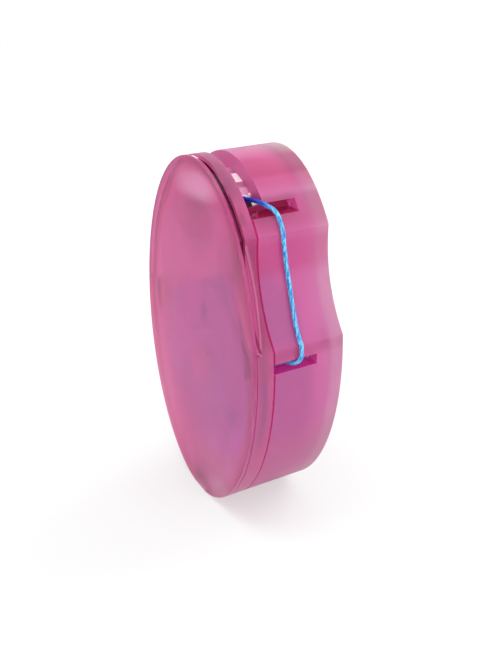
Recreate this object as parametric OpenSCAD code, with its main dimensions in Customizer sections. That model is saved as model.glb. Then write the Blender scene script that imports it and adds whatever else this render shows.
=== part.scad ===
// Dental floss dispenser: an oval case that stands on its lower end, with a push-fit front lid,
// a bobbin of floss on an axle, a finger recess that the strand crosses, and a steel cutter.
// X runs across the case, Y from the front face to the back, and Z up from the foot.
// A "depth" is measured back from the front face.

/* [Case] */
// Height of the oval outline, before the foot is cut flat
case_h = 68; // [64:1:76]
// Width of the oval outline
case_w = 42.6; // [41:0.2:50]
// Depth of the case from its front face to its back face
case_d = 18; // [16:0.5:22]
// Side wall of the frame and the shell
wall_t = 2.7; // [2.2:0.1:3]
// Back wall of the shell
back_t = 2; // [1.6:0.1:2.6]
// Height cut off the lower end so that the case stands
foot_cut = 0.15; // [0.1:0.05:0.3]
// Depth of the seam between the frame and the shell
seam_depth = 3.9; // [3.8:0.1:4.4]
// Pegs that join the frame to the shell, radius
peg_r = 0.6; // [0.5:0.05:0.8]
// Pegs that join the frame to the shell, length
peg_len = 2.2; // [1.5:0.1:3]
// Clearance round pegs and pins that are pressed home
press_gap = 0.02; // [0.01:0.01:0.05]

/* [Lid] */
// Thickness of the lid's rim
lid_rim_t = 0.7; // [0.6:0.05:0.9]
// How far the lid's plug stands behind its rim
lid_plug_t = 0.6; // [0.5:0.05:0.7]
// Gap between the lid's rim and the frame
lid_seam = 0.1; // [0.05:0.05:0.15]
// Width of the band of the frame that the lid's rim covers
lid_band = 1.15; // [0.9:0.05:1.4]
// Clearance round the lid's plug and its snap tabs
lid_fit = 0.1; // [0.05:0.05:0.15]
// Width of the fingernail gap under the lid's rim
nail_gap = 1.05; // [0.9:0.05:1.3]
// Thickness of the frame's lip that stands out over the finger recess, behind the fingernail gap
lip_t = 0.35; // [0.3:0.05:0.5]
// Snap tabs, width
tab_w = 6; // [4:0.5:7]
// Snap tabs, thickness
tab_t = 1.6; // [1:0.1:2]
// Snap tabs, length behind the plug
tab_len = 2.8; // [2:0.1:3.2]
// How far the side tabs stop below the fingernail gap
tab_drop = 0.2; // [0.1:0.1:1]

/* [Recess and slots] */
// Upper floss slot, its top edge below the top of the case
slot_top_drop = 5.9; // [5.4:0.1:6.4]
// Width of both floss slots
slot_w = 1.85; // [1.6:0.05:2]
// Depth of the upper slot's far end
upper_slot_depth = 13.1; // [11:0.1:13.5]
// Depth of the lower slot's far end
lower_slot_depth = 12.6; // [11:0.1:13.5]
// Wall between the upper slot and the recess
recess_to_slot = 2.6; // [2.2:0.1:3]
// Height of the finger recess
recess_len = 18.3; // [16:0.1:19]
// How far the finger recess dips below a straight line across it
recess_sag = 1.8; // [1.4:0.1:2.2]
// Lower slot, its top edge below the recess
lower_slot_drop = 2.3; // [1.8:0.1:3]
// Depth of the cutter window's back edge
window_depth = 7; // [6.4:0.1:7.6]

/* [Bobbin] */
// How far the bobbin's centre sits below the middle of the oval
bobbin_drop = 6.8; // [6:0.1:8]
// Clearance between the flanges and the case
bobbin_gap = 0.7; // [0.5:0.05:1]
// Thickness of the bobbin's flanges
flange_t = 1; // [0.8:0.1:1.2]
// Radius of the hub that the flanges and the floss sit on
hub_r = 6; // [5:0.5:7]
// Radius of the hub's seat for the front flange
hub_seat_r = 5; // [4:0.5:5]
// Radius of the axle
axle_r = 2; // [1.6:0.1:2.4]
// Radius of the axle's neck under its cap
axle_neck_r = 1.3; // [1:0.1:1.4]
// How deep the axle is set into its boss and the back wall
axle_set = 1.8; // [1.4:0.1:1.9]
// Running clearance between the hub and the axle
axle_fit = 0.05; // [0.03:0.01:0.09]
// Play of the bobbin along the axle, at each end
end_play = 0.05; // [0.03:0.01:0.1]
// Radius of the axle's boss on the back wall
boss_r = 4.6; // [4:0.1:5.5]
// Height of the axle's boss on the back wall
boss_h = 0.6; // [0.4:0.1:0.8]
// Thickness of the felt drag washer
washer_t = 0.5; // [0.4:0.1:0.7]
// Width of the gap between the drag washer's bore and the axle
washer_gap = 0.3; // [0.2:0.1:0.4]
// Radius of the cap that holds the bobbin on its axle
cap_r = 4; // [3.2:0.1:4.6]
// Thickness of the axle cap
cap_t = 0.8; // [0.6:0.1:0.9]
// Gap between the axle cap and the closed lid
cap_gap = 0.4; // [0.3:0.1:0.5]
// Radius of the three loading holes in the front flange
grip_r = 1.6; // [1.2:0.1:2]

/* [Cutter] */
// Thickness of the steel strip
strip_t = 0.3; // [0.2:0.05:0.4]
// Depth of the strip's back edge
strip_depth = 8.6; // [8:0.1:9]
// How far the strip's back edge turns in
strip_lip = 1.5; // [1:0.1:2]
// Distance of the strip's tooth end from the middle of the case
strip_right = 7.7; // [7.2:0.1:8]
// Distance of the strip's far end from the middle of the case
strip_left = 8.6; // [8:0.1:9]
// Gap between the strip and the pieces round it
strip_gap = 0.05; // [0.03:0.01:0.08]
// Length of the cutter tooth from its root to its tip
tooth_len = 1.9; // [1.5:0.1:2.2]
// Width of the arm that carries the tooth
tooth_arm = 1.1; // [0.9:0.1:1.3]
// How far the arm reaches past the end of the strip
tooth_reach = 2; // [1.7:0.1:2.2]
// Height of the block that the strip is clipped over
block_h = 3.6; // [3:0.1:4.4]
// Radius of the pegs that carry the block
block_peg_r = 0.9; // [0.7:0.1:1.1]
// Distance of the block's pegs from the middle of the case
block_peg_x = 4.6; // [4:0.1:5]
// Thickness of the web that closes the top of the frame, in front of the block
keeper_t = 1.2; // [1:0.1:1.3]
// How far the web reaches down from the top, at the middle of the case
keeper_drop = 8; // [7:0.1:9]
// Slope of the web's lower edge, in degrees
keeper_slope = 8; // [0:1:12]

/* [Floss] */
// Diameter of the floss
floss_d = 0.8; // [0.7:0.05:0.9]
// Gap between the turns of the winding
turn_gap = 0.45; // [0.42:0.01:0.6]
// How far the winding lies below the flanges' edge
wind_drop = 0.9; // [0.8:0.05:1.6]
// Radius of the bend where the winding turns in to a flange
turn_in_r = 0.5; // [0.45:0.05:0.7]
// Radius of the guide pin behind the lower slot
guide_r = 0.8; // [0.6:0.05:0.9]
// Distance of the guide pin's front end behind the seam
guide_back = 1.2; // [0.6:0.1:2]

/* [Hidden] */

// Flats round the oval, which divide the circle into equal steps
oval_flats = 96;
$fn = 96;
// Overrun of cuts, so that no skin is left
over = 1;
// Space left where a part only has to be clear of the next one
clear = 0.1;

// The oval's half sizes and its middle
half_w = case_w / 2;
half_h = case_h / 2;
mid_z = half_h - foot_cut;
top_z = mid_z + half_h;

// Depths, from the front face
lid_t = lid_rim_t + lid_plug_t;
frame_front = lid_rim_t + lid_seam;
ledge_depth = lid_t + lid_seam;
nail_depth = lid_rim_t + nail_gap;
back_inner = case_d - back_t;
boss_front = back_inner - boss_h;
washer_front = boss_front - washer_t;
cap_front = lid_t + cap_gap;
hub_front = cap_front + cap_t + end_play;
hub_back = washer_front - end_play;
wind_front = hub_front + flange_t;
wind_back = hub_back - flange_t;

// Heights of the slots and the finger recess
upper_slot_top = top_z - slot_top_drop;
upper_slot_low = upper_slot_top - slot_w;
recess_top = upper_slot_low - recess_to_slot;
recess_low = recess_top - recess_len;
lower_slot_top = recess_low - lower_slot_drop;
lower_slot_low = lower_slot_top - slot_w;

// The recess is a round cut through the two points where it leaves the oval
function oval_x(z) = half_w * sqrt(1 - pow((z - mid_z) / half_h, 2));
recess_a = [oval_x(recess_low), recess_low];
recess_b = [oval_x(recess_top), recess_top];
recess_chord = norm(recess_b - recess_a);
recess_r = (pow(recess_chord / 2, 2) + pow(recess_sag, 2)) / (2 * recess_sag);
recess_out = [recess_b[1] - recess_a[1], recess_a[0] - recess_b[0]] / recess_chord;
recess_c = (recess_a + recess_b) / 2 + recess_out * (recess_r - recess_sag);

// The bobbin is as large as fits the oval at its height
inner_w = half_w - wall_t;
inner_h = half_h - wall_t;
bobbin_z = mid_z - bobbin_drop;
flange_r = inner_w * sqrt(1 - pow(bobbin_drop, 2) / (pow(inner_h, 2) - pow(inner_w, 2))) - bobbin_gap;
grip_ring_r = (hub_r + flange_r) / 2;

// The winding: one tube over a plain core
loop_rings = 24;
floss_r = floss_d / 2;
wind_r = flange_r - wind_drop - floss_r;
core_r = wind_r * cos(180 / loop_rings) - floss_r - press_gap;
wind_end = floss_d + turn_in_r;
wind_room = wind_back - wind_front - 2 * wind_end;
turns = floor(wind_room / (floss_d + turn_gap));
wind_turn = 2 * PI * wind_r;
wind_len = turns * wind_turn;

// The strand's route, from the winding out through the lower slot, up the recess and over the
// slot and the tooth to the cutter strip: across, back from the middle, up
strand_route = [
    [5.8, -2.6, 43], [7.7, -2.5, 42.2], [9.5, -2.5, 41.2], [11.9, -2.4, 39.5], [14.4, -2.3, 37.9], [16, -2.2, 36.8],
    [16.8, -2.1, 36.3], [17.6, -2, 36], [18.6, -1.8, 35.9], [19.6, -1.4, 35.9], [20.5, -1, 36], [21.2, -0.6, 36.3],
    [21.7, -0.3, 36.9], [21.9, -0.1, 37.7], [21.8, 0, 38.6], [21.5, 0.1, 39.5], [20.9, 0, 40.4], [19.8, 0.1, 42],
    [18.5, 0.3, 44.2], [17.5, 0.4, 46.5], [16.8, 0.35, 49], [16.3, 0.15, 51.4], [16, -0.05, 53.8],
    [15.8, -0.25, 56.2], [15.7, -0.35, 57.6], [15.1, -0.35, 58.8], [14.5, -0.4, 59.8], [13.9, -0.6, 60.6],
    [13.3, -1, 61.2], [12.7, -1.6, 61.7], [12, -2.4, 62.1], [11.2, -2.9, 62.3], [10.2, -3.4, 62.3], [9.2, -3.9, 62.2],
    [8.3, -4.4, 62.4], [7.6, -4.7, 62.9]];

// A point of the oval at an angle, moved in by some distance along the oval's own normal
function oval_point(angle, inset) =
    let (across = half_h * cos(angle), up = half_w * sin(angle), size = norm([across, up]))
    [half_w * cos(angle) - inset * across / size, mid_z + half_h * sin(angle) - inset * up / size];

// Turns a flat outline in X and Z into a slab between two depths
module slab(front, back) {
    translate([0, back - case_d / 2, 0])
        rotate([90, 0, 0])
            linear_extrude(back - front)
                children();
}

// A round bar or hole along Y, between two depths
module rod(r, front, back, at = [0, 0]) {
    slab(front, back)
        translate(at)
            circle(r);
}

module oval(inset = 0) {
    polygon([for (i = [0 : oval_flats - 1]) oval_point(i * 360 / oval_flats, inset)]);
}

// The case's outline with the finger recess, moved in by some distance
module outline(inset = 0) {
    difference() {
        oval(inset);
        translate(recess_c)
            circle(recess_r + inset, $fn = 180);
    }
}

// The band between two distances inside the outline
module band(outer, inner) {
    difference() {
        outline(outer);
        outline(inner);
    }
}

// A flat box between two places across and two heights
module window(left, right, low, high) {
    translate([left, low])
        square([right - left, high - low]);
}

// Everything above the foot
module above_foot() {
    intersection() {
        children();
        translate([-case_w, -case_d, 0])
            cube([2 * case_w, 2 * case_d, 2 * case_h]);
    }
}

// The pegs between frame and shell sit in the middle of the wall, clear of the window and the slots
peg_angles = [140, 195, 250, 300, 345];

module case_pegs(r, front, back) {
    for (angle = peg_angles)
        rod(r, front, back, at = oval_point(angle, wall_t / 2), $fn = 32);
}

// The side tabs end just below the fingernail gap, and the third tab is on the foot's middle line
side_tab_top = recess_low - tab_drop;
tab_back = lid_t + tab_len;

module front_lid() {
    color([0.85, 0.4, 0.62, 0.6])
        above_foot() {
            slab(0, lid_rim_t)
                oval();
            slab(lid_rim_t / 2, lid_t)
                outline(lid_band + lid_fit);
            slab(lid_rim_t, tab_back)
                intersection() {
                    band(wall_t + lid_fit, wall_t + lid_fit + tab_t);
                    union() {
                        window(-case_w, case_w, side_tab_top - tab_w, side_tab_top);
                        window(-tab_w / 2, tab_w / 2, 0, mid_z / 2);
                    }
                }
        }
}

// The keeper is a web across the top of the frame, in front of the cutter block. The lip follows the
// full oval, so that it hides the front end of the finger recess
module front_frame() {
    color([0.83, 0.33, 0.56, 0.6])
        above_foot() {
            difference() {
                slab(frame_front, seam_depth)
                    band(0, wall_t);
                slab(frame_front - over, ledge_depth)
                    outline(lid_band);
                slab(frame_front - over, nail_depth)
                    difference() {
                        window(-case_w, case_w, recess_low, top_z + over);
                        outline(lid_band);
                    }
            }
            slab(seam_depth - keeper_t, seam_depth)
                intersection() {
                    outline(wall_t / 2);
                    window(-case_w, strip_right, recess_top, top_z);
                    translate([0, top_z - keeper_drop])
                        rotate(keeper_slope)
                            window(-case_w, case_w, 0, case_h);
                }
            slab(nail_depth, nail_depth + lip_t)
                difference() {
                    intersection() {
                        oval();
                        window(0, case_w, recess_low, recess_top);
                    }
                    outline(wall_t / 2);
                }
            case_pegs(peg_r, (nail_depth + seam_depth) / 2, seam_depth + peg_len);
        }
}

// Where the block's pegs stand: half way down the block
block_outer = wall_t + 2 * strip_gap + strip_t;
block_inner = block_outer + block_h;
block_mid_w = half_w - (block_outer + block_inner) / 2;
block_mid_h = half_h - (block_outer + block_inner) / 2;
block_peg_z = mid_z + block_mid_h * sqrt(1 - pow(block_peg_x / block_mid_w, 2));
block_front = seam_depth + clear;
block_peg_front = (strip_depth + back_inner) / 2;

// The guide pin stands behind the lower slot, and the strand passes under it
guide_at = [half_w - wall_t - guide_r - 4 * clear, lower_slot_top + clear + floss_r];
guide_front = seam_depth + guide_back;
guide_boss_r = guide_r + floss_d;
guide_boss_front = back_inner - boss_h;

module rear_shell() {
    color([0.82, 0.32, 0.55, 0.6])
        above_foot() {
            difference() {
                slab(seam_depth, case_d)
                    outline();
                slab(seam_depth - over, back_inner)
                    outline(wall_t);
                slab(seam_depth - over, window_depth)
                    window(-case_w, case_w, upper_slot_top - over, top_z + over);
                slab(seam_depth - over, upper_slot_depth)
                    window(0, case_w, upper_slot_low, upper_slot_top);
                slab(seam_depth - over, lower_slot_depth)
                    window(0, case_w, lower_slot_low, lower_slot_top);
                case_pegs(peg_r + press_gap, seam_depth - over, seam_depth + peg_len + clear);
                rod(axle_r + press_gap, boss_front - over, boss_front + axle_set, at = [0, bobbin_z]);
                rod(guide_r + press_gap, guide_boss_front - over, back_inner + back_t / 2, at = guide_at, $fn = 32);
            }
            difference() {
                rod(boss_r, boss_front, back_inner + back_t / 4, at = [0, bobbin_z]);
                rod(axle_r + press_gap, boss_front - over, case_d + over, at = [0, bobbin_z]);
            }
            difference() {
                rod(guide_boss_r, guide_boss_front, back_inner + back_t / 4, at = guide_at, $fn = 48);
                rod(guide_r + press_gap, guide_boss_front - over, case_d + over, at = guide_at, $fn = 32);
            }
            for (side = [-1, 1])
                rod(block_peg_r, block_peg_front, back_inner + back_t / 4,
                    at = [side * block_peg_x, block_peg_z], $fn = 32);
        }
}

module spool_axle() {
    color([0.92, 0.9, 0.92]) {
        rod(axle_r, hub_front - end_play, boss_front + axle_set, at = [0, bobbin_z]);
        rod(axle_neck_r, cap_front, wind_front, at = [0, bobbin_z]);
    }
}

module axle_cap() {
    color([0.92, 0.9, 0.92])
        difference() {
            rod(cap_r, cap_front, cap_front + cap_t, at = [0, bobbin_z]);
            rod(axle_neck_r + press_gap, cap_front - over, cap_front + cap_t + over, at = [0, bobbin_z]);
        }
}

module drag_washer() {
    color([0.93, 0.93, 0.9])
        difference() {
            rod(boss_r, washer_front, boss_front, at = [0, bobbin_z]);
            rod(axle_r + washer_gap, washer_front - over, boss_front + over, at = [0, bobbin_z]);
        }
}

// Hub and rear flange in one moulding, with a stepped seat for the front flange
module bobbin() {
    color([0.35, 0.45, 0.85])
        difference() {
            union() {
                rod(hub_seat_r, hub_front, wind_back, at = [0, bobbin_z]);
                rod(hub_r, wind_front, wind_back + flange_t / 2, at = [0, bobbin_z]);
                rod(flange_r, wind_back, hub_back, at = [0, bobbin_z]);
            }
            rod(axle_r + axle_fit, hub_front - over, hub_back + over, at = [0, bobbin_z]);
        }
}

module bobbin_flange() {
    color([0.4, 0.5, 0.88])
        difference() {
            rod(flange_r, hub_front, wind_front, at = [0, bobbin_z]);
            rod(hub_seat_r + press_gap, hub_front - over, wind_front + over, at = [0, bobbin_z]);
            for (angle = [90, 210, 330])
                rod(grip_r, hub_front - over, wind_front + over,
                    at = [grip_ring_r * cos(angle), bobbin_z + grip_ring_r * sin(angle)], $fn = 48);
        }
}

module floss_core() {
    color([0.3, 0.62, 0.9])
        difference() {
            rod(core_r, wind_front, wind_back, at = [0, bobbin_z]);
            rod(hub_r + press_gap, wind_front - over, wind_back + over, at = [0, bobbin_z]);
        }
}

// A tube through points, each with a direction that is kept on one side of it
function unit(v) = v / norm(v);
function tube_heading(path, i) = unit(path[min(i + 1, len(path) - 1)] - path[max(i - 1, 0)]);
function tube_side(path, sides, i) =
    let (t = tube_heading(path, i)) unit(sides[i] - t * (sides[i] * t));
function tube_ring(path, sides, i, r, n) =
    let (s = tube_side(path, sides, i), b = cross(tube_heading(path, i), s))
    [for (k = [0 : n - 1]) path[i] + r * (cos(k * 360 / n) * s + sin(k * 360 / n) * b)];

module tube(path, sides, r, n) {
    rings = len(path);
    points = [for (i = [0 : rings - 1]) each tube_ring(path, sides, i, r, n)];
    walls = [for (i = [0 : rings - 2], k = [0 : n - 1])
        let (a = i * n + k, b = i * n + (k + 1) % n)
        each [[a, a + n, b], [b, a + n, b + n]]];
    first = [for (k = [1 : n - 2]) [0, k, k + 1]];
    last = [for (k = [1 : n - 2]) [(rings - 1) * n, (rings - 1) * n + k + 1, (rings - 1) * n + k]];
    polyhedron(points, concat(first, walls, last));
}

// The winding laid out flat: distance round the coil, and depth. It leaves the front flange
// square, bends into the helix, and bends again to meet the rear flange square.
bend_steps = 3;
wind_first = wind_front + wind_end;
wind_last = wind_back - wind_end;
function wind_flat_point(i) =
    let (share = i / (turns * loop_rings))
    [share * wind_len, wind_first + share * (wind_last - wind_first)];
wind_flat = [
    [-turn_in_r, wind_front],
    for (k = [0 : bend_steps - 1])
        [-turn_in_r * cos(90 * k / bend_steps), wind_first - turn_in_r * (1 - sin(90 * k / bend_steps))],
    for (i = [0 : turns * loop_rings]) wind_flat_point(i),
    for (k = [1 : bend_steps])
        [wind_len + turn_in_r * sin(90 * k / bend_steps), wind_last + turn_in_r * (1 - cos(90 * k / bend_steps))],
    [wind_len + turn_in_r, wind_back]
];
// Where the winding starts round the bobbin
wind_start = 60;
function wind_angle(p) = wind_start - 360 * p[0] / wind_turn;
wind_path = [for (p = wind_flat)
    [wind_r * cos(wind_angle(p)), p[1] - case_d / 2, bobbin_z + wind_r * sin(wind_angle(p))]];
wind_sides = [for (p = wind_flat) [cos(wind_angle(p)), 0, sin(wind_angle(p))]];

// The least gap between turns, over points at least half a loop apart
half_loop = loop_rings / 2;
wind_gap = min([for (i = [0 : len(wind_path) - 1 - half_loop])
    min([for (j = [i + half_loop : len(wind_path) - 1]) norm(wind_path[i] - wind_path[j])])]) - floss_d;
echo(turns = turns, least_gap_between_turns = wind_gap);

module floss_winding() {
    color([0.25, 0.68, 0.92])
        tube(wind_path, wind_sides, floss_r, 6);
}

// A smooth curve through the route's points, with one more point between each two
function between(p, i) =
    let (a = p[max(i - 1, 0)], b = p[i], c = p[i + 1], d = p[min(i + 2, len(p) - 1)])
    (9 * (b + c) - a - d) / 16;
strand_path = [for (i = [0 : len(strand_route) - 2]) each [strand_route[i], between(strand_route, i)],
    strand_route[len(strand_route) - 1]];
strand_len = [for (i = 1, s = 0; i <= len(strand_path);
    s = s + (i < len(strand_path) ? norm(strand_path[i] - strand_path[i - 1]) : 0), i = i + 1) s];
echo(strand_length = strand_len[len(strand_len) - 1]);

module floss_strand() {
    color([0.2, 0.7, 0.95])
        tube(strand_path, [for (p = strand_path) [0, 1, 0]], floss_r, 8);
}

module guide_pin() {
    color([0.8, 0.8, 0.82])
        rod(guide_r, guide_front, back_inner + back_t / 2, at = guide_at, $fn = 32);
}

// The block that carries the strip, with a groove for the strip's turned-in edge
module cutter_block() {
    color([0.8, 0.35, 0.55, 0.7])
        difference() {
            slab(block_front, back_inner)
                intersection() {
                    band(wall_t + strip_gap, block_inner);
                    window(clear - strip_left, strip_right - clear, mid_z, top_z);
                }
            slab(block_front - over, strip_depth + strip_gap)
                difference() {
                    window(-case_w, case_w, mid_z, top_z);
                    outline(block_outer);
                }
            slab(strip_depth - strip_t - strip_gap, strip_depth + strip_gap)
                difference() {
                    window(-case_w, case_w, mid_z, top_z);
                    outline(wall_t + strip_gap + strip_lip + strip_gap);
                }
            for (side = [-1, 1])
                rod(block_peg_r + press_gap, block_peg_front - clear, back_inner + over,
                    at = [side * block_peg_x, block_peg_z], $fn = 32);
        }
}

// The tooth's arm carries on in a straight line from the strip's end
strip_outer = wall_t + strip_gap;
strip_mid_w = half_w - strip_outer - strip_t;
strip_mid_h = half_h - strip_outer - strip_t;
strip_end_angle = acos(strip_right / strip_mid_w);
strip_end_z = mid_z + strip_mid_h * sin(strip_end_angle);
tooth_slope = atan2(strip_mid_h * cos(strip_end_angle), strip_mid_w * sin(strip_end_angle));
arm_front = seam_depth + 2 * strip_gap;
arm_back = window_depth - tooth_arm;

module cutter_strip() {
    color([0.85, 0.85, 0.87]) {
        slab(seam_depth + strip_gap, strip_depth)
            intersection() {
                band(strip_outer, strip_outer + strip_t);
                window(-strip_left, strip_right, mid_z, top_z);
            }
        slab(strip_depth - strip_t, strip_depth)
            intersection() {
                band(strip_outer, strip_outer + strip_lip);
                window(-strip_left, strip_right, mid_z, top_z);
            }
        translate([strip_right, -case_d / 2, strip_end_z])
            rotate([0, tooth_slope, 0])
                linear_extrude(strip_t)
                    polygon([
                        [-strip_t, arm_back - tooth_arm],
                        [tooth_reach, arm_back - tooth_arm],
                        [tooth_reach, arm_back],
                        [tooth_reach - tooth_arm / 4, arm_back - tooth_arm / 4 + tooth_len],
                        [tooth_reach - tooth_arm, arm_back],
                        [-strip_t, arm_back]
                    ]);
    }
}

front_lid();
front_frame();
rear_shell();
spool_axle();
axle_cap();
drag_washer();
bobbin();
bobbin_flange();
floss_core();
floss_winding();
floss_strand();
guide_pin();
cutter_block();
cutter_strip();
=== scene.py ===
import math

import bmesh
import bpy
import numpy as np
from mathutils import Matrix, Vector


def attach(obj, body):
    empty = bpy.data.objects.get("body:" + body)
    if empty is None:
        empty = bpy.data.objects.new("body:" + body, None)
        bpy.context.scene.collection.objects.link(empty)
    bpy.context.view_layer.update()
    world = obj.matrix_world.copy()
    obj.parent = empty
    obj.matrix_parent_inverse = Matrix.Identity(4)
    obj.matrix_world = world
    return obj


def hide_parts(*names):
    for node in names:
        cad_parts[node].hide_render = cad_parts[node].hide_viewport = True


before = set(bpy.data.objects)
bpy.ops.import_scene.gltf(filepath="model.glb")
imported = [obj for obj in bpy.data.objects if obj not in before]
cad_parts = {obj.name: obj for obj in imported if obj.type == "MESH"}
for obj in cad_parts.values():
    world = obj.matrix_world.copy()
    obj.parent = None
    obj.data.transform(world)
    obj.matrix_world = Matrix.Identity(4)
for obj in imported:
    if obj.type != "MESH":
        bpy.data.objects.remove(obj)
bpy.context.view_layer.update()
print("frame loaded:", len(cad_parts), "nodes")

mm = 0.001  # in metres
caseSize = {
    "halfWidth": 21.3, "halfHeight": 34, "middle": 33.85, "depth": 18, "wall": 2.7,
    "recessAt": (41.680, 55.714), "recessRadius": 26.438, "bobbinHeight": 27.05,
}

# the camera stands where the photograph was taken
cameraPlace = {"at": (0.12782, -0.07094, 0.10543), "back": (0.7835, -0.4413, 0.4375), "lens": 47.40}
scene = bpy.context.scene
cameraData = bpy.data.cameras.new("camera")
cameraData.lens = cameraPlace["lens"]
cameraData.clip_start, cameraData.clip_end = 0.005, 20
camera = bpy.data.objects.new("camera", cameraData)
camera.location = cameraPlace["at"]
camera.rotation_mode = "QUATERNION"
camera.rotation_quaternion = (-Vector(cameraPlace["back"])).to_track_quat("-Z", "Y")
scene.collection.objects.link(camera)
scene.camera = camera


# Points in the CAD frame: across, back from the middle of the case's depth, and up.
def inFrame(across, depth, height):
    across, depth, height = np.broadcast_arrays(across, depth, height)
    return np.stack([across, depth - caseSize["depth"] / 2, height], -1)


# A mesh object in metres at the origin, shaded smooth up to the sharp angle. Mending joins points
# that meet, drops what has no size and turns all faces outward.
def makePiece(name, points, faces, material, body, nodes=(), loopUv=None, sharp=35, mend=False):
    mesh = bpy.data.meshes.new(name)
    mesh.from_pydata((np.asarray(points).reshape(-1, 3) * mm).tolist(), [], faces)
    if loopUv is not None:
        layer = mesh.uv_layers.new(name="along")
        layer.data.foreach_set("uv", np.asarray(loopUv, float).ravel())
    if mend:
        work = bmesh.new()
        work.from_mesh(mesh)
        bmesh.ops.remove_doubles(work, verts=work.verts, dist=2e-6)
        bmesh.ops.dissolve_degenerate(work, dist=1e-7, edges=work.edges)
        bmesh.ops.delete(work, geom=[v for v in work.verts if not v.link_faces], context="VERTS")
        bmesh.ops.recalc_face_normals(work, faces=work.faces)
        work.to_mesh(mesh)
        work.free()
    mesh.shade_smooth()
    mesh.set_sharp_from_angle(angle=math.radians(sharp))
    mesh.materials.append(material)
    piece = bpy.data.objects.new(name, mesh)
    scene.collection.objects.link(piece)
    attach(piece, body)
    if nodes:
        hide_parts(*nodes)
    return piece


# Gives a second finish to the faces that a test picks. The test gets the faces' middles, as x, depth
# and height in mm, and their outward directions.
def finishFaces(piece, material, pick):
    faces = piece.data.polygons
    middle, outward = np.empty(len(faces) * 3), np.empty(len(faces) * 3)
    faces.foreach_get("center", middle)
    faces.foreach_get("normal", outward)
    middle = middle.reshape(-1, 3) / mm + (0, caseSize["depth"] / 2, 0)
    chosen = pick(*middle.T, outward.reshape(-1, 3).T)
    index = np.empty(len(faces), np.int32)
    faces.foreach_get("material_index", index)
    index[chosen] = len(piece.data.materials)
    piece.data.materials.append(material)
    faces.foreach_set("material_index", index)
    print(piece.name, "faces given", material.name, int(chosen.sum()))


# how near to a depth a face lies, and how far it looks along a direction or across it
faceTest = {"near": 0.02, "along": 0.9, "across": 0.1}


# Whether faces lie flat at a depth and look to the front, with way -1, or to the back, with 1.
def flatAt(y, out, depth, way):
    return (np.abs(y - depth) < faceTest["near"]) & (out[1] * way > faceTest["along"])


# Whether faces lie between two depths and run along the depth.
def wallBetween(y, out, front, back):
    return (y > front) & (y < back) & (np.abs(out[1]) < faceTest["across"])


# Rounds every edge sharper than the angle.
def roundEdges(piece, width, angle=20):
    bevel = piece.modifiers.new("rounded", "BEVEL")
    bevel.width, bevel.segments = width * mm, 2
    bevel.limit_method, bevel.angle_limit = "ANGLE", math.radians(angle)


def newMaterial(name):
    material = bpy.data.materials.new(name)
    material.use_nodes = True
    return material, material.node_tree, material.node_tree.nodes["Principled BSDF"]


# Sets a node's inputs. A value that is another node's output is linked.
def feed(tree, node, inputs):
    for name, value in inputs.items():
        if isinstance(value, bpy.types.NodeSocket):
            tree.links.new(value, node.inputs[name])
        else:
            node.inputs[name].default_value = value


def addNode(tree, kind, inputs=None):
    node = tree.nodes.new("ShaderNode" + kind)
    feed(tree, node, inputs or {})
    return node


def mathOf(tree, operation, *values):
    node = addNode(tree, "Math")
    node.operation = operation
    feed(tree, node, dict(enumerate(values)))
    return node.outputs[0]


# Noise on the piece's own coordinates, stretched along its axes.
def noiseOf(tree, scale, detail=3, coords="Object", stretch=(1, 1, 1), rough=0.5):
    place = addNode(tree, "TexCoord").outputs[coords]
    place = addNode(tree, "Mapping", {"Vector": place, "Scale": stretch}).outputs["Vector"]
    return addNode(tree, "TexNoise", {"Vector": place, "Scale": scale, "Detail": detail,
                                      "Roughness": rough}).outputs["Fac"]


# A ramp through colours, each at its own value of the factor.
def rampOf(tree, factor, steps, blend="LINEAR"):
    node = addNode(tree, "ValToRGB", {"Fac": factor})
    node.color_ramp.interpolation = blend
    stops = node.color_ramp.elements
    stops.remove(stops[1])
    for k, (at, colour) in enumerate(steps):
        stop = stops[0] if k == 0 else stops.new(at)
        stop.position, stop.color = at, (*colour, 1)
    return node.outputs["Color"]


def blendColours(tree, factor, first, second, low=0.35, high=0.65):
    return rampOf(tree, factor, [(low, first), (high, second)])


# The factor, spread between two values.
def spread(tree, factor, low, high, fromLow=0.3, fromHigh=0.7):
    return addNode(tree, "MapRange", {"Value": factor, "From Min": fromLow, "From Max": fromHigh,
                                      "To Min": low, "To Max": high}).outputs["Result"]


def multiplied(tree, colour, by, factor=1):
    mix = addNode(tree, "Mix")
    mix.data_type, mix.blend_type = "RGBA", "MULTIPLY"
    feed(tree, mix, {"A": colour, "B": by, "Factor": factor})
    return mix.outputs["Result"]


def addBump(tree, shader, height, strength, distance):
    bump = addNode(tree, "Bump", {"Height": height, "Strength": strength, "Distance": distance})
    feed(tree, shader, {"Normal": bump.outputs["Normal"]})


# Falls from 1 at the middle of an oval, seen from the front, to 0 at its edge. Its size is its half
# axes. It runs through the whole depth unless deep gives a middle and a half size in depth too.
def ovalShare(tree, oval):
    (x, z), (wide, high), (y, deep) = oval["at"], oval["size"], oval.get("deep", (0, 1000))
    place = addNode(tree, "Mapping")
    place.vector_type = "TEXTURE"
    feed(tree, place, {"Vector": addNode(tree, "TexCoord").outputs["Object"],
                       "Location": (x * mm, y * mm, z * mm),
                       "Rotation": (0, math.radians(-oval.get("tilt", 0)), 0),
                       "Scale": (wide * mm, deep * mm, high * mm)})
    ball = addNode(tree, "TexGradient", {"Vector": place.outputs["Vector"]})
    ball.gradient_type = "SPHERICAL"
    return ball.outputs["Fac"]


# An oval patch where the colour is multiplied by another, full from a share of the way in, or from
# half of it. With an outside, all round it instead.
def softSpot(tree, colour, spot):
    share = (1, 0) if spot.get("outside") else (0, 1)
    mask = spread(tree, ovalShare(tree, spot), *share, 0, spot.get("full", 0.5))
    return multiplied(tree, colour, (*spot["tint"], 1), mask)


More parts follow.
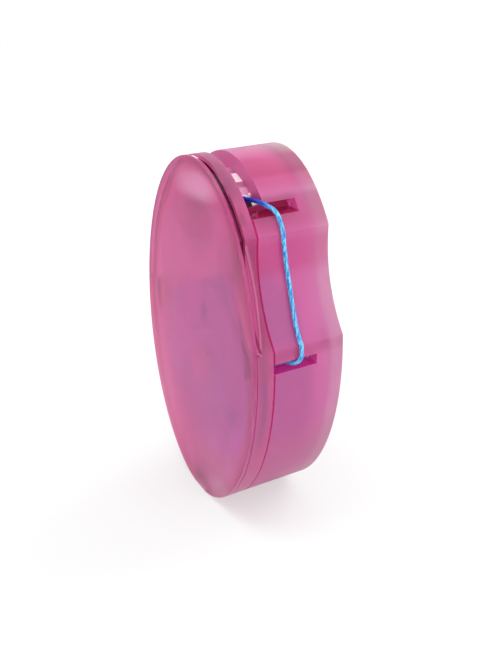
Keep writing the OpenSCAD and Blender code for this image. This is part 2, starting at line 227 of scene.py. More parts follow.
# where a ramp along each axis starts and ends
rampReach = {"X": (-12, 12), "Y": (-9, 9), "Z": (0, 70)}


# Colours at places along one of the piece's own axes.
def coloursAlong(tree, axis, steps, blend="LINEAR"):
    low, high = rampReach[axis]
    place = addNode(tree, "SeparateXYZ", {"Vector": addNode(tree, "TexCoord").outputs["Object"]})
    share = spread(tree, place.outputs[axis], 0, 1, low * mm, high * mm)
    return rampOf(tree, share, [((at - low) / (high - low), colour) for at, colour in steps], blend)


# Tinted plastic that lets light through, with a fine matt grain and slightly cloudy flow in it. Colours that
# change with the depth, and soft spots, paint light and shade on it.
def frostedPlastic(name, look):
    material, tree, shader = newMaterial(name)
    tint = blendColours(tree, noiseOf(tree, 70, detail=4), look["tint"], look["pale"])
    if "depths" in look:
        tint = multiplied(tree, tint, coloursAlong(tree, "Y", look["depths"]))
    for spot in look.get("spots", []):
        tint = softSpot(tree, tint, spot)
    wear = noiseOf(tree, 260, detail=5, rough=0.65)
    feed(tree, shader, {"Base Color": tint, "Roughness": spread(tree, wear, *look["matt"]),
                        "Transmission Weight": look["clear"], "IOR": look["bend"]})
    addBump(tree, shader, noiseOf(tree, 5200, detail=2), look["grain"], distance=0.00002)
    if "depthTint" in look:
        inside = addNode(tree, "VolumeAbsorption", {"Color": (*look["depthTint"], 1),
                                                    "Density": look["density"]})
        feed(tree, tree.nodes["Material Output"], {"Volume": inside.outputs["Volume"]})
    return material


# Moulded opaque plastic with a soft gloss: faint flow marks, or colours that change with the depth, which
# paint light and shade.
def solidPlastic(name, look):
    material, tree, shader = newMaterial(name)
    wear = noiseOf(tree, 900, detail=5, rough=0.7)
    if "depths" in look:
        tint = coloursAlong(tree, "Y", look["depths"])
    else:
        flow = noiseOf(tree, 150, detail=4, stretch=(1, 3, 1))
        tint = blendColours(tree, flow, look["dark"], look["light"])
    feed(tree, shader, {"Base Color": tint, "Roughness": spread(tree, wear, *look["matt"])})
    addBump(tree, shader, wear, strength=0.08, distance=0.00004)
    return material


# Bright steel with fine drawing lines along X. Its flats, where it has them, get painted reflections: each a
# colour, from dull pink to white, for the part of the room it turns to.
def brightMetal(name, look):
    material, tree, shader = newMaterial(name)
    lines = noiseOf(tree, 2200, detail=3, stretch=(0.05, 1, 1))
    if "flats" in look:
        tint = coloursAlong(tree, "X", look["flats"], "CONSTANT")
    else:
        tint = blendColours(tree, noiseOf(tree, 500, detail=4), look["dark"], look["light"])
    feed(tree, shader, {"Base Color": tint, "Roughness": spread(tree, lines, *look["matt"]),
                        "Metallic": look["metal"]})
    addBump(tree, shader, lines, look["lines"], distance=0.00001)
    return material


# Polished cut faces of the tinted plastic, with a sharp gloss. The colour changes with the height, or with
# the share of the way in from the case's oval, to paint light and shade, or has faint marks.
def cutPlastic(name, look):
    material, tree, shader = newMaterial(name)
    marks = noiseOf(tree, 1200, detail=4, stretch=(1, 0.2, 1))
    if "heights" in look:
        tint = coloursAlong(tree, "Z", look["heights"])
    elif "insets" in look:
        oval = {"at": (0, caseSize["middle"]), "size": (caseSize["halfWidth"], caseSize["halfHeight"])}
        tint = rampOf(tree, ovalShare(tree, oval), look["insets"])
    else:
        tint = blendColours(tree, marks, look["dark"], look["light"])
    feed(tree, shader, {"Base Color": tint, "Roughness": spread(tree, marks, *look["matt"]),
                        "Transmission Weight": look["clear"], "IOR": look.get("bend", 1.46)})
    addBump(tree, shader, marks, strength=0.03, distance=0.00001)
    return material


# Pale wool felt: matted fibres that run every way.
def feltWool(name):
    material, tree, shader = newMaterial(name)
    fibres = noiseOf(tree, 2600, detail=6, stretch=(1, 1, 0.3), rough=0.75)
    across = noiseOf(tree, 2600, detail=6, stretch=(0.3, 1, 1), rough=0.75)
    feed(tree, shader, {"Base Color": blendColours(tree, fibres, (0.62, 0.60, 0.55), (0.82, 0.80, 0.76)),
                        "Roughness": 0.95, "Sheen Weight": 0.4})
    addBump(tree, shader, across, strength=0.6, distance=0.0001)
    return material


# Bundled blue filaments. U runs once round each ply from its valley, V along the strand in mm. The painted
# shade is a share of the colour at places along the strand.
def flossFibre(name, look):
    material, tree, shader = newMaterial(name)
    place = addNode(tree, "SeparateXYZ", {"Vector": addNode(tree, "TexCoord").outputs["UV"]})
    stripes = noiseOf(tree, 1, detail=4, coords="UV", stretch=look["streaks"], rough=0.6)
    valley = mathOf(tree, "PINGPONG", place.outputs["X"], 0.5)  # 0 between two plies, 0.5 on a ply's crown
    # painted shade: the colour is darker in the valleys between plies, by the crown's weight
    mixed = mathOf(tree, "MULTIPLY_ADD", valley, look["crown"], stripes)
    colour = blendColours(tree, mixed, look["dark"], look["light"], *look["ramp"])
    if "shade" in look:
        far = look["shadeReach"]
        shade = [(at / far, (share, share, share ** 0.25)) for at, share in look["shade"]]
        colour = multiplied(tree, colour, rampOf(tree, spread(tree, place.outputs["Y"], 0, 1, 0, far), shade))
    feed(tree, shader, {"Base Color": colour, "Roughness": 0.5, "Specular IOR Level": 0.25,
                        "Sheen Weight": look["sheen"], "Subsurface Weight": 0.15, "Subsurface Scale": 0.0003})
    addBump(tree, shader, stripes, strength=0.5, distance=0.00005)
    return material


lidSurface = {"matt": (0.30, 0.36), "clear": 0.86, "bend": 1.27, "grain": 0.08}
plasticLooks = {
    # lid: the spots are painted light and shade: lighter patches near the top, at the sides and near the foot
    # where light falls, darker patches below the top one and at the foot where shade falls, darker all round
    # the edge, and darker marks where the snap tabs show through
    "lid": {**lidSurface, "tint": (0.90, 0.215, 0.52), "pale": (0.93, 0.25, 0.555), "spots": [
        {"at": (0, 33.85), "size": (21.5, 34.2), "full": 0.1, "tint": (1, 1.2, 1.12)},
        {"at": (1.5, 26), "size": (22.5, 40), "full": 0.13, "outside": True, "tint": (1, 0.68, 0.86)},
        {"at": (0.5, 63.3), "size": (10.5, 3.5), "tilt": 6, "tint": (1.11, 2.45, 1.45)},
        {"at": (-0.5, 57.2), "size": (9.5, 4.5), "tilt": 4, "full": 0.25, "tint": (0.94, 0.86, 0.89)},
        {"at": (10, 30), "size": (14, 24), "tint": (0.95, 1, 0.99)},
        {"at": (1, 1.6), "size": (4.5, 3.5), "full": 0.6, "tint": (0.74, 0.82, 0.75)},
        {"at": (9, 3.5), "size": (6, 4.5), "tint": (1.04, 1.6, 1.2)},
        {"at": (-16.5, 18), "size": (5, 18), "tilt": 25, "tint": (1.05, 1.28, 1.08)},
        {"at": (15.5, 17), "size": (4, 12), "tilt": -25, "tint": (1.07, 1.15, 1.12)},
        {"at": (0.8, 55.4), "size": (7.5, 7.5), "full": 0.6, "tint": (0.89, 0.88, 0.91)},
        {"at": (11.8, 53.6), "size": (4, 6), "full": 0.6, "tint": (0.88, 0.84, 0.86)},
        {"at": (14.6, 45), "size": (2.6, 8), "tilt": 19, "full": 0.7, "tint": (0.98, 0.88, 0.94)},
        {"at": (8, 20), "size": (12, 14), "tint": (1, 1.1, 1.05)},
        {"at": (13.4, 47.8), "size": (2, 6), "tilt": 31, "tint": (1.24, 1.11, 1.13)},
        {"at": (18.2, 39.5), "size": (0.6, 2.6), "tilt": 42, "full": 0.4, "tint": (0.85, 0.62, 0.66)},
        {"at": (19.75, 36.9), "size": (0.6, 2.6), "tilt": 10, "full": 0.4, "tint": (0.85, 0.68, 0.70)},
        {"at": (7, 5), "size": (14, 11), "full": 0.6, "tint": (1.1, 1.35, 1.18)}]},
    # band: painted shade, a darker tint on the rim's back face, which shows through the face
    "band": {**lidSurface, "tint": (0.76, 0.16, 0.44), "pale": (0.79, 0.19, 0.47)},
    # edge: painted shade, a dark rim on the lid's left side and along its edge, a little lighter at its back
    "edge": {**lidSurface, "tint": (0.31, 0.02, 0.09), "pale": (0.34, 0.025, 0.10), "depths": [
        (-8.36, (1, 1, 1)), (-8.32, (1.1, 1.4, 1.6))]},
    # frame: the spot is painted shade on the recess under the lip
    "frame": {"tint": (0.86, 0.28, 0.56), "pale": (0.89, 0.32, 0.60), "matt": (0.30, 0.36), "clear": 0.8,
              "bend": 1.3, "grain": 0.02, "depthTint": (0.95, 0.55, 0.78), "density": 150, "spots": [
        {"at": (17, 49), "size": (7, 13), "full": 0.4, "tint": (0.80, 0.46, 0.68)}]},
    # shell: painted light and shade: lighter towards the back, a lighter streak and spot along the top, and
    # darker patches on the top, beside the window, in the recess, by the lower slot and near the foot
    "shell": {"tint": (0.86, 0.27, 0.57), "pale": (0.90, 0.31, 0.61), "matt": (0.40, 0.48), "clear": 0.7,
              "bend": 1.3, "grain": 0.06, "depthTint": (0.95, 0.50, 0.75), "density": 50,
              "depths": [(-9, (0.93, 0.80, 0.92)), (3, (0.92, 0.83, 0.93)), (6, (0.90, 0.96, 0.96)),
                         (7, (0.96, 1.38, 1.09)), (8.8, (0.98, 1.58, 1.11))], "spots": [
        {"at": (6.5, 66.3), "size": (9, 4.2), "tint": (0.95, 0.61, 0.72)},
        {"at": (9.9, 64), "size": (2.4, 2.4), "full": 0.4, "tint": (1.2, 1.6, 1.38)},
        {"at": (9.5, 64.8), "size": (5, 3), "deep": (7.5, 4.5), "tint": (0.94, 0.72, 0.82)},
        {"at": (1, 68), "size": (4, 1.6), "tint": (1.12, 2, 1.3)},
        {"at": (13.6, 60.6), "size": (3.8, 4.2), "tint": (0.89, 0.77, 0.77)},
        {"at": (15.4, 53.6), "size": (3.5, 4), "tint": (0.95, 0.70, 0.80)},
        {"at": (21, 38.1), "size": (2.2, 1.6), "full": 0.6, "tint": (0.91, 0.80, 0.83)},
        {"at": (14, 4), "size": (18, 22), "tint": (0.88, 0.97, 0.86)}]},
}
lidPlastic = frostedPlastic("frosted_lid", plasticLooks["lid"])
bandShadePlastic = frostedPlastic("frosted_lid_band", plasticLooks["band"])
edgeShadePlastic = frostedPlastic("frosted_lid_edge", plasticLooks["edge"])
framePlastic = frostedPlastic("frosted_frame", plasticLooks["frame"])
shellPlastic = frostedPlastic("frosted_shell", plasticLooks["shell"])
bluePlastic = solidPlastic("blue_bobbin", {"dark": (0.64, 0.58, 0.99), "light": (0.70, 0.64, 1),
                                           "matt": (0.3, 0.4)})
whitePlastic = solidPlastic("white_axle", {"dark": (0.80, 0.79, 0.80), "light": (0.86, 0.85, 0.86),
                                           "matt": (0.3, 0.42)})
# painted light and shade: the block's front is pale where light falls on it, and the rest is dark red where
# shade falls
blockLitAndShaded = solidPlastic("pale_block", {"matt": (0.35, 0.45), "depths": [
    (-4.8, (0.92, 0.80, 0.86)), (-4.4, (0.45, 0.03, 0.14))]})
# painted reflections: each flat of the strip gets the colour of what it would mirror, from dull pink to white
stripReflectionSteel = brightMetal("polished_steel_painted_reflections", {"matt": (0.04, 0.1), "metal": 0.75, "lines": 0.02, "flats": [
    (-12, (0.86, 0.80, 0.84)), (-3.3, (0.80, 0.60, 0.70)), (0, (0.95, 0.74, 0.85)), (1.4, (0.66, 0.50, 0.57)),
    (2.7, (1, 0.99, 1)), (5, (0.56, 0.32, 0.42)), (6.1, (0.96, 0.70, 0.88))]})
# painted reflections: white for the bright flat and the bead ends, near black for the tooth and white for its
# tip
whiteReflectionSteel = brightMetal("steel_painted_white_reflection", {"matt": (0.12, 0.2), "metal": 0.1, "lines": 0.02,
                                           "flats": [(-12, (0.98, 0.97, 0.98))]})
toothDarkReflection = brightMetal("tooth_steel_painted_dark_reflection", {"matt": (0.1, 0.2), "metal": 0.6, "lines": 0.02,
                                         "flats": [(-12, (0.05, 0.02, 0.04))]})
tipWhiteReflection = brightMetal("tooth_tip_painted_white_reflection", {"matt": (0.1, 0.15), "metal": 0.1, "lines": 0.02,
                                           "flats": [(-12, (0.98, 0.95, 0.97))]})
# painted shade: the slot walls darken from magenta low down to deep dark red in the upper slot
slotShadePlastic = cutPlastic("slot_cut", {"matt": (0.08, 0.16), "clear": 0.3, "heights": [
    (45, (0.72, 0.03, 0.36)), (50, (0.33, 0.01, 0.065))]})
# painted light: the slot ends are a brighter magenta than the walls
slotEndLitPlastic = cutPlastic("slot_end_painted_light", {"dark": (0.74, 0.045, 0.31), "light": (0.79, 0.06, 0.34),
                                         "matt": (0.1, 0.2), "clear": 0.35})
# painted shade and dark reflection in the nail groove: black at the top, fading to pink lower down
grooveShadePlastic = cutPlastic("nail_groove", {"matt": (0.05, 0.1), "clear": 0.2, "heights": [
    (45, (0.95, 0.50, 0.68)), (50, (0.55, 0.16, 0.30)), (54, (0.22, 0.035, 0.10)), (61, (0.15, 0.02, 0.06)),
    (65, (0.04, 0.006, 0.015))]})
# painted light and shadow on the lip's face: pale, with a darker line where the nail gap's shadow falls
lipLitAndShadowed = cutPlastic("lip_face_painted_light_and_shadow", {"matt": (0.45, 0.55), "clear": 0.1, "bend": 1.25, "insets": [
    (0.03, (0.82, 0.34, 0.55)), (0.037, (0.58, 0.24, 0.38)), (0.045, (0.58, 0.24, 0.38)),
    (0.053, (0.92, 0.44, 0.65))]})
seamPlastic = cutPlastic("seam_edge", {"dark": (0.34, 0.002, 0.08), "light": (0.40, 0.004, 0.11),
                                       "matt": (0.3, 0.4), "clear": 0.1, "bend": 1.2})
# painted light: the web's front is near white, for the light patch that shows through the lid
webPaintedLight = solidPlastic("pale_web_painted_light", {"dark": (0.98, 0.82, 0.89), "light": (0.99, 0.85, 0.91),
                                       "matt": (0.4, 0.5)})
# painted shade: the window's back wall is darker towards the bottom
windowWallShade = cutPlastic("window_wall", {"matt": (0.4, 0.5), "clear": 0.1, "heights": [
    (62, (0.52, 0.05, 0.24)), (66, (0.66, 0.15, 0.38))]})
# painted highlight: a white glint on the lid's rim side at the top of the nail groove
glintPlastic = solidPlastic("groove_glint", {"dark": (0.96, 0.95, 0.96), "light": (0.98, 0.97, 0.98),
                                             "matt": (0.2, 0.3)})
pinSteel = brightMetal("drawn_steel", {"dark": (0.62, 0.62, 0.64), "light": (0.72, 0.72, 0.74),
                                       "matt": (0.18, 0.28), "metal": 1, "lines": 0.08})
woolFelt = feltWool("wool_felt")
flossBlue = flossFibre("floss_blue", {"dark": (0.26, 0.34, 0.80), "light": (0.46, 0.66, 0.95),
                                      "streaks": (7, 0.5, 1), "crown": 0.9, "ramp": (0.45, 0.85),
                                      "sheen": 0.2})
# painted shade: darker blue where the strand lies in the slot and in the window
strandBlue = flossFibre("floss_blue_strand", {
    "dark": (0.01, 0.20, 0.62), "light": (0.22, 0.68, 0.86), "streaks": (4, 0.9, 1), "crown": 0.2,
    "ramp": (0.50, 0.63), "sheen": 0.05, "shadeReach": 60,
    "shade": [(0, 0.12), (9, 0.25), (12.5, 1), (44.8, 1), (46.6, 0.4), (48, 0.08), (49.5, 0.02)]})
print("materials made:", len(bpy.data.materials))


# A Catmull-Rom curve through the points, then stations an even step apart along it.
def smoothPath(points, step, between=24):
    p = np.asarray(points, float)
    ends = np.vstack([2 * p[0] - p[1], p, 2 * p[-1] - p[-2]])
    a, b, c, d = (ends[k:len(ends) - 3 + k, None] for k in range(4))
    t = np.linspace(0, 1, between, endpoint=False)[None, :, None]
    fine = 0.5 * (2 * b + (c - a) * t + (2 * a - 5 * b + 4 * c - d) * t**2 + (3 * b - a - 3 * c + d) * t**3)
    fine = np.vstack([fine.reshape(-1, 3), p[-1]])
    run = np.concatenate([[0], np.cumsum(np.linalg.norm(np.diff(fine, axis=0), axis=1))])
    stations = np.linspace(0, run[-1], int(run[-1] / step) + 1)
    return np.stack([np.interp(stations, run, fine[:, k]) for k in range(3)], -1), stations


# A quad at each place of a grid whose columns close round, with the rows and columns of the places. A
# looped grid closes over its rows too, and its quads are wound the other way.
def gridQuads(rows, n, looped=False):
    places = np.meshgrid(np.arange(rows if looped else rows - 1), np.arange(n), indexing="ij")
    i, j = (place.ravel() for place in places)
    m, k = (i + 1) % rows, (j + 1) % n
    across, onward = ((m, j), (i, k)) if looped else ((i, k), (m, j))
    corners = ((i, j), across, (m, k), onward)
    return np.stack([row * n + column for row, column in corners], 1), i, j


# A tube of plies laid round each other. Its radius at an angle is the outline of a ply, a circle
# set off the centre, and the outline turns once in each lay of the strand.
def twistedTube(path, along, sides, look):
    heading = np.gradient(path, axis=0)
    heading /= np.linalg.norm(heading, axis=1, keepdims=True)
    side = sides - heading * (sides * heading).sum(1, keepdims=True)
    side /= np.linalg.norm(side, axis=1, keepdims=True)
    up = np.cross(heading, side)
    n = look["round"]
    angle = np.arange(n) * 2 * np.pi / n
    turned = angle[None] - look["hand"] * 2 * np.pi * along[:, None] / look["lay"]
    share = (turned * look["plies"] / (2 * np.pi)) % 1  # 0 and 1 are valleys, 0.5 a crown
    off = (share - 0.5) * 2 * np.pi / look["plies"]
    d, a = look["shift"] * look["radius"], (1 - look["shift"]) * look["radius"]
    radius = d * np.cos(off) + np.sqrt(a * a - (d * np.sin(off)) ** 2)
    strandlets = np.cos(2 * np.pi * (share * look["filaments"] + along[:, None] / look["filamentLay"]))
    radius = radius - look["ripple"] * (1 - strandlets) / 2
    return path[:, None] + radius[..., None] * (np.cos(angle)[None, :, None] * side[:, None]
                                                + np.sin(angle)[None, :, None] * up[:, None])


# Quads between a tube's rings, closed round and capped at both ends, with U counted in plies.
def tubeFaces(along, look):
    rows, n, plies = len(along), look["round"], look["plies"]
    quads, i, j = gridQuads(rows, n)
    u = lambda row, column: column * plies / n - look["hand"] * plies * along[row] / look["lay"]
    corners = ((i, j), (i, j + 1), (i + 1, j + 1), (i + 1, j))
    uv = np.stack([np.stack([u(row, column), along[row]], 1) for row, column in corners], 1)
    first, last = list(range(n))[::-1], list(range((rows - 1) * n, rows * n))
    capUv = np.zeros((2 * n, 2))
    return quads.tolist() + [first, last], np.vstack([uv.reshape(-1, 2), capUv])


strandShape = {
    "radius": 0.4, "plies": 3, "lay": 11, "shift": 0.16, "hand": 1, "filaments": 5, "filamentLay": 6,
    "ripple": 0.02, "round": 42, "step": 0.1,
    "route": [
        (5.8, -2.6, 43), (7.7, -2.5, 42.2), (9.5, -2.5, 41.2), (11.9, -2.4, 39.5), (14.4, -2.3, 37.9),
        (16, -2.2, 36.8), (16.8, -2.1, 36.3), (17.6, -2, 36), (18.6, -1.8, 35.9), (19.6, -1.4, 35.9),
        (20.5, -1, 36), (21.2, -0.6, 36.3), (21.7, -0.3, 36.9), (21.9, -0.1, 37.7), (21.8, 0, 38.6),
        (21.5, 0.1, 39.5), (20.9, 0, 40.4), (19.8, 0.1, 42), (18.5, 0.3, 44.2), (17.5, 0.4, 46.5),
        (16.8, 0.35, 49), (16.3, 0.15, 51.4), (16, -0.05, 53.8), (15.8, -0.25, 56.2), (15.7, -0.35, 57.6),
        (15.1, -0.35, 58.8), (14.5, -0.4, 59.8), (13.9, -0.6, 60.6), (13.3, -1, 61.2), (12.7, -1.6, 61.7),
        (12, -2.4, 62.1), (11.2, -2.9, 62.3), (10.2, -3.4, 62.3), (9.2, -3.9, 62.2), (8.3, -4.4, 62.4),
        (7.6, -4.7, 62.9)],
}
strandPath, strandRun = smoothPath(strandShape["route"], strandShape["step"])
strandPoints = twistedTube(strandPath, strandRun, np.tile([0.0, 1.0, 0.0], (len(strandPath), 1)), strandShape)
strandFaces, strandUv = tubeFaces(strandRun, strandShape)
strand = makePiece("floss_strand_twisted", strandPoints, strandFaces, strandBlue, "case",
                   nodes=["floss_strand"], loopUv=strandUv, sharp=60)
print("strand made:", round(float(strandRun[-1]), 2), "mm")

# the outer layer of floss, turn beside turn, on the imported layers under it
windingShape = {
    "radius": 0.4, "plies": 3, "lay": 6.6, "shift": 0.26, "hand": 1, "filaments": 6, "filamentLay": 5,
    "ripple": 0.018, "round": 20, "coilRadius": 15.91, "front": 4, "back": 13.4, "turns": 11,
    "start": 60, "stations": 120,
}


# A helix round the bobbin's axis: the angle and the depth both grow evenly along it.
def windingPath(shape):
    t = np.linspace(0, 1, shape["turns"] * shape["stations"] + 1)
    angle = math.radians(shape["start"]) - 2 * np.pi * shape["turns"] * t
    path = inFrame(shape["coilRadius"] * np.cos(angle), shape["front"] + (shape["back"] - shape["front"]) * t,
                   caseSize["bobbinHeight"] + shape["coilRadius"] * np.sin(angle))
    sides = np.stack([np.cos(angle), 0 * angle, np.sin(angle)], -1)
    along = t * np.hypot(2 * np.pi * shape["turns"] * shape["coilRadius"], shape["back"] - shape["front"])
    return path, along, sides


coilPath, coilRun, coilSides = windingPath(windingShape)
coilPoints = twistedTube(coilPath, coilRun, coilSides, windingShape)
coilFaces, coilUv = tubeFaces(coilRun, windingShape)
makePiece("floss_winding_turns", coilPoints, coilFaces, flossBlue, "spool",
          nodes=["floss_winding"], loopUv=coilUv, sharp=60)

packShape = {"inner": 6.02, "outer": 15.42, "front": 3.56, "back": 13.84, "ridge": 0.22, "crossings": 26,
             "lean": 1.1, "offset": 0.7, "edgeDrop": 0.25, "edgeShare": 0.06, "rounds": 720, "rows": 60,
             "uvSteps": (0.4, 0.3)}


# A ring round the hub. Its outside is two sets of ridges that cross, the higher one on top:
# the radius is the outer radius less the ridge height times how far a point is from a ridge.
def packedFloss(shape):
    angle = np.arange(shape["rounds"]) * 2 * np.pi / shape["rounds"]
    depth = np.linspace(shape["front"], shape["back"], shape["rows"])
    a, y = angle[None], (depth[:, None] - shape["front"]) / (shape["back"] - shape["front"])
    oneWay = np.abs(np.cos(shape["crossings"] * (a + shape["lean"] * y)))
    otherWay = np.abs(np.cos(shape["crossings"] * (a - shape["lean"] * y) + shape["offset"]))
    radius = shape["outer"] - shape["ridge"] * (1 - np.maximum(oneWay, otherWay))
    edge = np.minimum(y, 1 - y)
    radius = radius - shape["edgeDrop"] * np.clip(1 - edge / shape["edgeShare"], 0, 1) ** 2
    inner = np.full((1, shape["rounds"]), shape["inner"])
    radius = np.vstack([inner, radius, inner])
    depth = np.concatenate([[shape["front"]], depth, [shape["back"]]])[:, None]
    points = inFrame(radius * np.cos(a), depth, caseSize["bobbinHeight"] + radius * np.sin(a))
    quads, i, j = gridQuads(*radius.shape, looped=True)
    du, dv = shape["uvSteps"]
    u, v = j * du, i * dv
    uv = np.stack([np.stack(corner, 1) for corner in ((u, v), (u, v + dv), (u + du, v + dv), (u + du, v))], 1)
    return points, quads.tolist(), uv.reshape(-1, 2)


packPoints, packFaces, packUv = packedFloss(packShape)
makePiece("floss_core_packed", packPoints, packFaces, flossBlue, "spool",
          nodes=["floss_core"], loopUv=packUv, sharp=60)
print("winding and packed floss made")


# The case's outline from the foot round to the right, moved in by the inset: an ellipse moved along
# its own normal, and where that lies in the recess's circle, grown by the inset, that circle instead.
def caseCurve(inset, recess=True, count=24001):
    angle = np.linspace(-np.pi / 2, 1.5 * np.pi, count)
    wide, high = caseSize["halfWidth"], caseSize["halfHeight"]
    across, up = high * np.cos(angle), wide * np.sin(angle)
    size = np.hypot(across, up)
    x = wide * np.cos(angle) - inset * across / size
    z = caseSize["middle"] + high * np.sin(angle) - inset * up / size
    cx, cz = caseSize["recessAt"]
    reach = caseSize["recessRadius"] + inset
    inside = np.flatnonzero(np.hypot(x - cx, z - cz) < reach)
    kinks = [z[inside[0]], z[inside[-1]]]
    if recess:
        turn = np.arctan2(z[inside] - cz, x[inside] - cx) % (2 * np.pi)
        turn = np.linspace(turn[0], turn[-1], len(inside))
        x[inside], z[inside] = cx + reach * np.cos(turn), cz + reach * np.sin(turn)
    run = np.concatenate([[0], np.cumsum(np.hypot(np.diff(x), np.diff(z)))])
    return {"x": x, "z": z, "run": run, "kinks": kinks, "top": int(np.argmax(z))}


# How far along the curve a mark lies: a height on the right or left side, a kink of the recess, or
# a place across near the top or the foot.
def markPlace(curve, mark, kinks):
    kind, value = mark
    x, z, run, top = curve["x"], curve["z"], curve["run"], curve["top"]
    eighth = len(x) // 8
    if kind == "kink":
        kind, value = "right", kinks[value]
    if kind == "right":
        return np.interp(value, z[:top + 1], run[:top + 1])
    if kind == "left":
        return np.interp(value, z[top:][::-1], run[top:][::-1])
    if kind == "top":
        part = slice(top + eighth, top - eighth, -1)
        return np.interp(value, x[part], run[part])
    place = np.interp(abs(value), x[:eighth], run[:eighth])
    return place if value > 0 else run[-1] - place


# Rings of points at several insets, with the same number of points between each two marks. The
# plain ones don't follow the recess.
def caseRings(insets, marks, spacing, plain=()):
    curves = [caseCurve(inset, i not in plain) for i, inset in enumerate(insets)]
    followed = next(c for i, c in enumerate(curves) if i not in plain)
    stops = [[0] + [markPlace(c, m, (followed if i in plain else c)["kinks"]) for m in marks] + [c["run"][-1]]
             for i, c in enumerate(curves)]
    counts = np.maximum(1, np.ceil(np.diff(stops[0]) / spacing)).astype(int)
    rings = []
    for c, s in zip(curves, stops):
        at = np.concatenate([np.linspace(a, b, n, endpoint=False) for a, b, n in zip(s[:-1], s[1:], counts)])
        rings.append(np.stack([np.interp(at, c["run"], c["x"]),
                               np.maximum(np.interp(at, c["run"], c["z"]), 0)], -1))
    return np.array(rings), counts


# The skin of a solid made of cells between rings, depths and stations round the case. filled says
# which cells are there, and core which layers go on solid to the middle inside the last ring.
def cellSolid(rings, depths, filled, core):
    w, n = rings.shape[:2]
    v = len(depths)
    points = inFrame(rings[:, None, :, 0], np.asarray(depths, float)[None, :, None], rings[:, None, :, 1])

    def spanned(different, one, two):  # a quad at each place, from one step of the grid to the other
        c, b, a = np.nonzero(different)
        steps = ((0, 0, 0), one, np.add(one, two), two)
        return np.stack([((a + i) * v + b + j) * n + (c + k) % n for i, j, k in steps], 1)

    quads = [spanned(filled != np.roll(filled, 1, 0), (1, 0, 0), (0, 1, 0))]
    padded = np.pad(filled, ((0, 0), (1, 1), (0, 0)))
    quads.append(spanned(padded[:, 1:] != padded[:, :-1], (1, 0, 0), (0, 0, 1)))
    inner = np.broadcast_to(np.asarray(core)[None, :, None], (n, v - 1, 1))
    padded = np.concatenate([np.zeros((n, v - 1, 1), bool), filled, inner], 2)
    quads.append(spanned(padded[:, :, 1:] != padded[:, :, :-1], (0, 1, 0), (0, 0, 1)))
    layers = np.pad(np.asarray(core), 1)
    ends = [((w - 1) * v + int(b)) * n for b in np.flatnonzero(layers[1:] != layers[:-1])]
    caps = [list(range(end, end + n)) for end in ends]
    return points, np.vstack(quads).tolist() + caps


# Whether points lie within a reach of one of the case's curves, seen from the front.
def nearCurve(x, z, curve, reach, every=20):
    far = np.hypot(x[:, None] - curve["x"][None, ::every], z[:, None] - curve["z"][None, ::every])
    return far.min(axis=1) < reach


# For each station round the case, whether it lies in one of the parts between marks. The first part,
# number 0, goes from the middle of the foot to the first mark.
def stationFlags(counts, parts):
    return np.isin(np.repeat(np.arange(len(counts)), counts), parts)


lidShape = {"glint": 0.42, "rim": 0.7, "plug": 1.3, "plugInset": 1.25, "plugBand": 2,
            "tabInset": (2.8, 4.4), "tabBack": 4.1, "tabHeights": (33, 39), "footTab": 3,
            "tabParts": [0, 2, 3, 6, 8], "inside": 5.2, "edgeInset": 1.05, "edgeEnd": -4, "edgeFoot": 38,
            "edgeReach": 0.25, "glintEnds": (-1.2, 1.1), "glintFoot": 60,
            "grooveEnd": -2, "grooveFoot": 39.2, "spacing": 0.45, "rounded": 0.06}


# An oval rim, a plug behind it that follows the recess, and three snap tabs.
def makeLid(shape):
    low, high = shape["tabHeights"]
    marks = [("foot", shape["footTab"]), ("right", low), ("kink", 0), ("right", high), ("kink", 1),
             ("left", high), ("left", low), ("foot", -shape["footTab"])]
    insets = [0, *(shape[k] for k in ("edgeInset", "plugInset", "plugBand")), *shape["tabInset"],
              shape["inside"]]
    rings, counts = caseRings(insets, marks, shape["spacing"], plain=(0,))
    depths = [0, shape["glint"], shape["rim"], shape["plug"], shape["tabBack"]]
    n = len(rings[0])
    filled = np.zeros((n, 4, len(insets) - 1), bool)
    filled[:, :2, :] = True
    filled[:, 2, 2:] = True
    filled[stationFlags(counts, shape["tabParts"]), 3, 4] = True
    points, faces = cellSolid(rings, depths, filled, [True, True, True, False])
    lid = makePiece("front_lid_frosted", points, faces, lidPlastic, "lid",
                    nodes=["front_lid"], mend=True)
    # painted shade on the rim's back face
    finishFaces(lid, bandShadePlastic, lambda x, y, z, out: flatAt(y, out, shape["rim"], 1)
                & (x > shape["edgeEnd"]))
    edge = caseCurve(shape["edgeInset"] / 2, False)
    # painted shade along the lid's left edge
    finishFaces(lid, edgeShadePlastic, lambda x, y, z, out: (x < shape["edgeEnd"]) & (
        wallBetween(y, out, 0, shape["rim"])
        | (flatAt(y, out, shape["rim"], 1) & (z > shape["edgeFoot"])
           & nearCurve(x, z, edge, shape["edgeReach"]))))
    # painted highlight on the rim's side at the top
    left, right = shape["glintEnds"]
    finishFaces(lid, glintPlastic, lambda x, y, z, out: wallBetween(y, out, shape["glint"], shape["rim"])
                & (z > shape["glintFoot"]) & (x > left) & (x < right))
    # painted shade in the nail groove behind the rim
    finishFaces(lid, grooveShadePlastic, lambda x, y, z, out: wallBetween(y, out, shape["rim"], shape["plug"])
                & (z > shape["grooveFoot"]) & (x > shape["grooveEnd"]))
    roundEdges(lid, shape["rounded"])


makeLid(lidShape)

frameShape = {"front": 0.8, "ledge": 1.4, "nail": 1.75, "lipBack": 2.1, "back": 3.87, "band": 1.15,
              "nailHeight": 39.2, "lipEnds": (40, 56.7), "webFront": 2.7, "webRight": (7.7, 60.93),
              "webLeft": (-11.72, 58.2), "plainParts": [0, 1, 8], "lipParts": [3], "webParts": [6],
              "shade": 0.7, "shadeReach": 0.2, "inside": 5, "spacing": 0.45, "rounded": 0.08}


